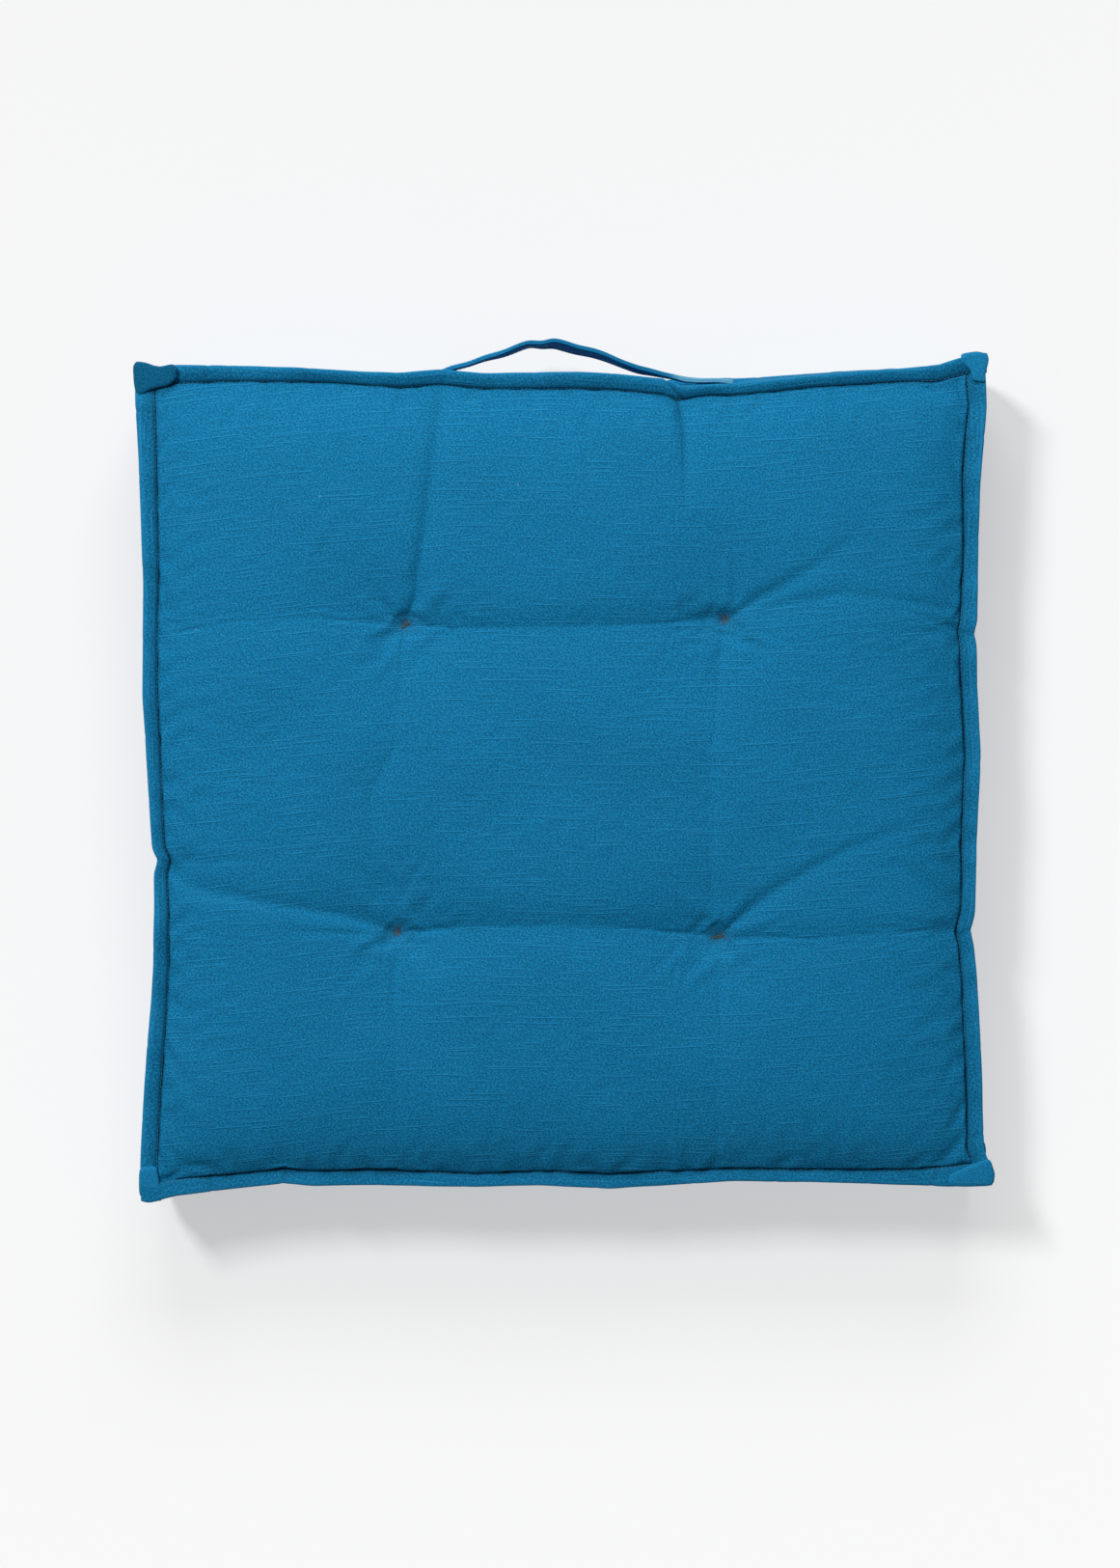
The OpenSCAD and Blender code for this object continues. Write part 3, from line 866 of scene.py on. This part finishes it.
# The end of each top strip that is folded over its neighbour at a corner: its outline, its height over the
# flange's middle, its slopes along X and Y, and how much painted shade it gets (none gets a painted highlight
# instead).
CORNER_FOLDS = {
    "back": ([(-302.5, 290), (-300, 293.5), (-293.5, 292.7), (-284.5, 289.5), (-274, 291.6), (-271, 288.5),
              (-271.8, 281), (-277, 276.5), (-289, 274.2), (-300, 268.5), (-302, 277)],
             4.2, (0.04, 0.16), 0.48),
    "right": ([(279.5, 299), (291.5, 301), (299, 299), (300, 295), (298.6, 288.5), (297.6, 287), (298, 278),
               (288, 280), (287, 287), (282, 292)], 2.6, (-0.02, 0.02), 0.0),
    "left": ([(-298.4, -273), (-298.6, -293), (-293, -298.4), (-283.5, -297.4), (-283.8, -285.4),
              (-285, -277.8), (-286, -272.5)], 2.2, (0.0, 0.02), 0.0),
    "front": ([(300.6, -266.8), (304.4, -277.8), (303.6, -284.6), (300.4, -287), (274.2, -287.2),
               (270.8, -285), (272.3, -278.6), (287.1, -272)], 2.0, (0.0, 0.05), 0.0),
}
# The folded end's rounded rim: shares of its outline's size and of half its thickness, from the top down.
FOLDED_RIM = [(0.30, 1.0), (0.62, 1.0), (0.84, 0.92), (0.95, 0.62), (1.0, 0.0), (0.95, -0.7), (0.62, -1.0)]


def folded_end(outline, height, slope):
    """A closed, softly rounded patch of doubled cloth with a given outline."""
    ring = np.array(outline) * MM
    if sum(a[0] * b[1] - b[0] * a[1] for a, b in zip(ring, np.roll(ring, -1, axis=0))) < 0:
        ring = ring[::-1]
    for cut in (0.16, 0.22):
        after = np.roll(ring, -1, axis=0)
        halves = [ring * (1 - cut) + after * cut, ring * cut + after * (1 - cut)]
        ring = np.stack(halves, axis=1).reshape(-1, 2)
    middle = ring.mean(axis=0)
    rings = []
    for share, up in FOLDED_RIM:
        flat = middle + (ring - middle) * share
        tilt = (flat - middle) @ np.array(slope)
        rings.append(np.column_stack([flat, height + tilt + up * 1.6 * MM]))
    return np.concatenate(rings), turned(tube_faces(len(rings), len(ring)))


# ---------- side bands ----------

BAND_KEEP = 1 - TRAVEL / (TOP_FLANGE_Z - BOTTOM_FLANGE_Z)


def band_out(side, along, rise):
    """How far out the band's face lies at distances along it, rise of the way up from the bottom flange."""
    low = edge_distance("bottom", side, along)
    high = edge_distance("top", side, along)
    out = low + (high - low) * rise - 0.45 * FLANGE_WIDTH
    swell = 4 * rise * (1 - rise)
    under_handle = fade(np.abs(along), 132 * MM, 8) if side == "back" else 0.0
    out = out + swell * (4.5 - 3.6 * under_handle) * MM
    pucker = ripple(along / MM, 70 * rise + 0 * along, 26, SIDES.index(side) + 90)
    return out + 0.55 * MM * np.sqrt(swell) * pucker


def behind_strap(along, z):
    """The farthest out that the back band may lie, so that the strap's sewn ends stay clear of it."""
    up = np.clip((z - STRAP_MIDDLE) / STRAP_HALF, -1, 1)
    nearer_edge = np.minimum(strap_face(along, -1), strap_face(along, 1))
    inner = np.minimum(strap_face(along, up), nearer_edge + 0.6 * MM)
    past_end = np.maximum(np.abs(along) - 124 * MM, 0)
    past_edge = np.maximum(np.abs(z - STRAP_MIDDLE) - STRAP_HALF / BAND_KEEP - 1 * MM, 0)
    return inner - STRAP_THICKNESS - 0.6 * MM + 0.5 * past_end + 0.5 * past_edge


def band(side):
    """The upright strip between the flanges: it swells a little, and is puckered between its seams."""
    rise, along = np.linspace(0, 1, 22)[:, None], np.linspace(-HALF, HALF, 160)
    low_side, high_side, sign = neighbours(side)
    at_end = sign * (HALF - 8 * MM)
    start, end = -band_out(low_side, at_end, rise), band_out(high_side, at_end, rise)
    place = start + (along + HALF) / (2 * HALF) * (end - start)
    z_low = flange_centre("bottom", side, place) + 1.2 * MM
    z_high = flange_centre("top", side, place) - 1.2 * MM
    z = z_low + (z_high - z_low) * rise
    out = band_out(side, along, rise)
    if side == "back":
        out = np.minimum(out, behind_strap(along, z))
    faces = outward(side, grid_faces(*z.shape))
    verts, uvs = strip_point(side, place, out, z).reshape(-1, 3), listed(along + 0.9 + 0 * z, z)
    obj = make_piece(f"band_{side}", verts, faces, "base", "band_cloth", uvs, [f"side_band_{side}"])
    thicken(obj)
    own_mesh(obj)


# ---------- wadding ----------


def closed_pillow(layer, x, y, base, top, edge, lump, body):
    """A layer of wadding from base to top, thinned towards its rim by edge and made uneven by lump."""
    centre, half = (top + base) / 2, (top - base) / 2
    low, high = centre - half * edge, centre + half * edge - lump
    rows, columns = x.shape
    rim = np.zeros(x.shape, bool)
    rim[0, :] = rim[-1, :] = rim[:, 0] = rim[:, -1] = True
    middle = (low + high) / 2
    upper, lower = listed(x, y, np.where(rim, middle, high)), listed(x, y, np.where(rim, middle, low))
    flat_rim = rim.ravel()
    lower_index = np.where(flat_rim, np.arange(rows * columns), 0)
    inner = np.flatnonzero(~flat_rim)
    lower_index[inner] = rows * columns + np.arange(len(inner))
    verts = np.concatenate([upper, lower[inner]])
    top_faces = grid_faces(rows, columns)
    faces = top_faces + [tuple(int(lower_index[i]) for i in face) for face in turned(top_faces)]
    return make_piece(f"batt_{layer}", verts, faces, body, "wadding", None, [f"wadding_{layer}"])


def batts():
    """Three layers of wadding: the middle one is squeezed as the top comes down."""
    grid = stations(48, [(place, 0.06, 1.0) for place in (-1, -0.39, 0.39, 1)])
    u, v = np.meshgrid(grid, grid)
    x, y, away = cover_plan("top", u * 0.985, v * 0.985)
    roll = rolled([d - 3 * MM for d in away], 14 * MM)
    edge = 0.25 + 0.75 * roll
    lump = np.abs(ripple(x / MM, y / MM, 45, 30) * 0.7 * MM)
    tufted = sum(fade(r, 16) for r in tuft_distances(x, y))
    lower_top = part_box("wadding_lower")[1][2]
    middle_low, middle_top = (c[2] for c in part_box("wadding_middle"))
    rise = np.clip(1 - np.min(away, axis=0) / (40 * MM), 0, 1) ** 2
    floor_side = 2.0 * MM + 9.0 * MM * rise + 5.5 * MM * tufted
    lower = closed_pillow("lower", x, y, floor_side, lower_top, edge, lump * roll, "base")
    middle = closed_pillow("middle", x, y, middle_low, middle_top, edge, lump, "base")
    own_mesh(middle)
    base = middle_top + 0.6 * MM
    top = np.maximum(top_height(x, y, away) - 3.0 * MM, base + 1 * MM)
    upper = closed_pillow("upper", x, y, base, top, edge, 0.0, "top")


# ---------- tufts ----------


def height_at(x_mm, y_mm):
    """The top cover's height at one place, for what lies on it."""
    x, y = np.array([x_mm * MM]), np.array([y_mm * MM])
    away = [
        x + seam_distance("top", "left", y), seam_distance("top", "right", y) - x,
        y + seam_distance("top", "front", x), seam_distance("top", "back", x) - y,
    ]
    return float(top_height(x, y, away)[0])


def over_cover(place, lift):
    return place.x, place.y, height_at(place.x / MM, place.y / MM) + lift


# Each tuft's stitch: its direction in degrees from X, its length and how many strands lie side by side.
TUFT_STITCHES = {
    "back_left": (40, 8, 2),
    "back_right": (88, 7.5, 2),
    "front_left": (80, 6, 2),
    "front_right": (8, 10.5, 2),
}


def tuft_stitches():
    """The stitch that shows in each tuft's hollow, with the stray fibres that it has pulled up."""
    rng = np.random.RandomState(12)
    threads = Capsules()
    for name, (tx, ty) in TUFTS.items():
        angle, length, strands = TUFT_STITCHES[name]
        a = math.radians(angle)
        along, across = Vector((math.cos(a), math.sin(a), 0)), Vector((-math.sin(a), math.cos(a), 0))
        centre = Vector((tx * MM, ty * MM, height_at(tx, ty)))
        for k in range(strands):
            offset = across * (k - (strands - 1) / 2) * 0.75 * MM
            points = []
            for step in range(9):
                share = step / 4 - 1
                arch = 1.5 * (1 - share * share) - 0.5 - 1.6 * abs(share) ** 6
                wobble = across * 0.12 * MM * math.sin(5 * share + k)
                place = centre + offset + along * share * length / 2 * MM + wobble
                points.append(over_cover(place, arch * MM * 0.6))
            threads.add(points, 0.34 * MM)
        for _ in range(16):
            turn, reach = rng.uniform(0, 2 * math.pi), rng.uniform(2.0, 5.5)
            out = Vector((math.cos(turn), math.sin(turn), 0))
            start = centre + along * rng.uniform(-0.5, 0.5) * length * MM
            points = []
            for share in (0, 0.35, 0.7, 1):
                place = start + out * reach * share * MM + across * rng.uniform(-0.5, 0.5) * MM
                points.append(over_cover(place, (0.25 + 0.5 * math.sin(3 * share)) * MM))
            threads.add(points, 0.07 * MM)
    threads.piece("tuft_stitches", "top", "tuft_twine", "top_tuft_stitches")


def tuft_twine(name):
    """Two plies of twine up through the filling, and the small stitch under the bottom cover."""
    tx, ty = TUFTS[name]
    low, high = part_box(f"tuft_thread_{name}")
    top = min(high[2], height_at(tx, ty) - 2.5 * MM)
    threads = Capsules()
    for ply in (0, math.pi):
        points = []
        for k in range(97):
            a = ply + k * 0.55
            z = low[2] + 1.2 * MM + (top - low[2] - 1.2 * MM) * k / 96
            points.append((tx * MM + 0.5 * MM * math.cos(a), ty * MM + 0.5 * MM * math.sin(a), z))
        threads.add(points, 0.55 * MM, up=(1, 0, 0))
    stitch = [(tx * MM + s * 1.1 * MM, ty * MM, low[2] + (1.0 - 0.03 * s * s) * MM) for s in range(-3, 4)]
    threads.add(stitch, 0.6 * MM)
    obj = threads.piece(f"tuft_twine_{name}", "base", "tuft_twine", f"tuft_thread_{name}")
    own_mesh(obj)


# ---------- edge stitching ----------

STITCH_PITCH = 3.1 * MM
EDGE_THREAD = 0.25 * MM


def edge_stitches(level):
    """The row of stitches beside each seam: drawn into the crease, and easier to see towards the corners."""
    threads = Capsules()
    share, up = (0.05, 0.0) if level == "top" else (0.10, -0.92)
    for side in SIDES:
        low, high = corner_reach(level, side)
        count = int((high - low - 12 * MM) / STITCH_PITCH)
        along = low + 6 * MM + STITCH_PITCH * np.arange(count)
        ends = []
        for shift in (-0.27, 0.27):
            at = along + shift * STITCH_PITCH
            out = edge_distance(level, side, at) - flange_width(level, side, at) * (1 - share)
            z = strip_height(level, side, at, strip_lap(low, high, at), share, up)
            if level == "top":
                z = z + (0.5 * near_corner(at) - 0.25) * MM
            ends.append(strip_point(side, at, out, z))
        threads.add_row(*ends, EDGE_THREAD)
    threads.piece(f"{level}_edge_stitches", BODY[level], "stitch_thread", f"{level}_edge_stitching")


# ---------- handle ----------

# The upper edge of the strap's outer face seen from above, from the left sewn end to the right.
STRAP_LINE = [
    (-122, 287.0), (-104, 288.2), (-86, 292.0), (-81, 294.0), (-67, 297.8), (-51, 303.4), (-37, 308.3),
    (-23, 313.8), (-15, 313.0), (-7, 314.6), (4, 312.6), (32, 303.6), (55, 294.6), (70, 291.0), (80, 288.6),
    (86, 286.2), (100, 285.6), (122, 285.2),
]
# How far the lower edge lies in towards the cushion from the upper one, in the same way.
STRAP_TILT = [(-122, -3), (-95, -2.6), (-58, -2.6), (-40, -1.8), (-12, 1.6), (4, 1.6), (22, 0.8), (40, 0),
              (62, -0.6), (80, -2.4), (100, -3.2), (121, -3.2)]
STRAP_THICKNESS = 3.4 * MM
STRAP_THREAD = 0.28 * MM
# The folded strap's section: shares of its half width (upwards) and of its thickness (from the outer face).
STRAP_SECTION = [
    (-1.0, 0.50), (-0.97, 0.15), (-0.86, 0.0), (-0.70, 0.10), (-0.40, -0.05), (0.0, -0.08), (0.40, -0.05),
    (0.70, 0.10), (0.86, 0.0), (0.97, 0.12), (1.0, 0.32), (0.93, 0.50), (1.0, 0.68), (0.97, 0.88),
    (0.86, 1.0), (0.70, 0.92), (0.45, 1.04), (0.24, 1.04), (0.20, 0.78), (0.16, 1.0), (-0.30, 1.02),
    (-0.34, 0.85), (-0.38, 1.0), (-0.70, 0.92), (-0.86, 1.0), (-0.97, 0.85),
]
STRAP_MIDDLE = (STRAP_LOW + STRAP_HIGH) / 2
STRAP_HALF = (STRAP_HIGH - STRAP_LOW) / 2


def strap_face(along, up):
    """How far out the strap's outer face lies at distances along the band, up from -1 to 1 over its width."""
    at = along / MM
    return (smooth_line(STRAP_LINE, at, 2.6) - smooth_line(STRAP_TILT, at) * (1 - up) / 2) * MM


def strap_point(along, up, inwards):
    """A point of the strap: up from -1 to 1 over its width, inwards in metres from its outer face."""
    wave = 0.35 * MM * ripple(along / MM, 14.0 * up + 0 * along, 34, 61)
    lift = 0.5 * MM * ripple(along / MM, 0 * along, 80, 62)
    y = strap_face(along, up) + wave - inwards
    z = STRAP_MIDDLE + up * STRAP_HALF * 0.98 + lift
    return np.stack([along + 0 * y, y, z + 0 * y], axis=-1)


def handle_blend(obj):
    """Bakes a handle piece's placement into its mesh."""
    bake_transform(obj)


def strap():
    ends = STRAP_LINE[0][0] * MM, STRAP_LINE[-1][0] * MM
    along = np.linspace(ends[0], ends[1], 150)[:, None]
    up, depth = np.array(STRAP_SECTION).T
    plump = 0.55 + 0.45 * rounded(np.minimum(along - ends[0], ends[1] - along), 1.2 * MM)
    verts = strap_point(along, up, (0.5 + (depth - 0.5) * plump) * STRAP_THICKNESS).reshape(-1, 3)
    faces = tube_faces(len(along), len(STRAP_SECTION))
    uvs = section_uvs(along, STRAP_SECTION, 0.012, (0.2, 0.1))
    nodes = ["handle_strap", "handle_end_left", "handle_end_right"]
    obj = make_piece("handle_strap_cloth", verts, faces, None, "strap_cloth", uvs, nodes)
    left_half = 1 / (1 + np.exp((35 + along / MM) / 5))
    sewn_end = 1 / (1 + np.exp((79 - along / MM) / 1.5))
    # Painted highlight on the strap's strongly lit top edge, brighter along its left half.
    mark(obj, "painted_highlight", (0.3 + 0.5 * left_half) * (up > 0.8))
    # Paler painted highlight on the strap's lit top edge at its right sewn end.
    mark(obj, "painted_edge_highlight", 0.85 * sewn_end * (up > 0.8))
    handle_blend(obj)


def strap_stitches():
    """Two rows along the loop on both faces, and a box of stitches on each sewn end."""
    loop = Capsules()
    for up in (-0.72, 0.72):
        for depth in (0.02, 0.98):
            at = np.arange(-118 * MM, 118 * MM, STITCH_PITCH)
            starts = strap_point(at, up, depth * STRAP_THICKNESS)
            ends = strap_point(at + 0.66 * STITCH_PITCH, up, depth * STRAP_THICKNESS)
            loop.add_row(starts, ends, STRAP_THREAD, up=(0, 1, 0))
    handle_blend(loop.piece("handle_edge_stitches", None, "stitch_thread", "handle_edge_stitching"))
    for name, sign in (("left", -1), ("right", 1)):
        threads = Capsules()
        corners = [(88, -0.6), (118, -0.6), (118, 0.6), (88, 0.6), (88, -0.6), (118, 0.6)]
        for (xa, ua), (xb, ub) in zip(corners, corners[1:]):
            length = math.hypot((xb - xa) * MM, (ub - ua) * STRAP_HALF)
            count = max(2, round(length / STITCH_PITCH))
            ends = []
            for shift in (0.17, 0.83):
                share = (np.arange(count) + shift) / count
                x = sign * (xa + (xb - xa) * share) * MM
                ends.append(strap_point(x, ua + (ub - ua) * share, 0.0))
            threads.add_row(*ends, STRAP_THREAD, up=(0, 1, 0))
        node = f"handle_end_stitching_{name}"
        threads.piece(f"handle_end_stitches_{name}", "handle_ends", "stitch_thread", node)


top_cover()
bottom_cover()
for side in SIDES:
    flange("top", side)
    flange("bottom", side)
    band(side)
batts()
tuft_stitches()
for tuft in TUFTS:
    tuft_twine(tuft)
edge_stitches("top")
edge_stitches("bottom")
strap()
strap_stitches()
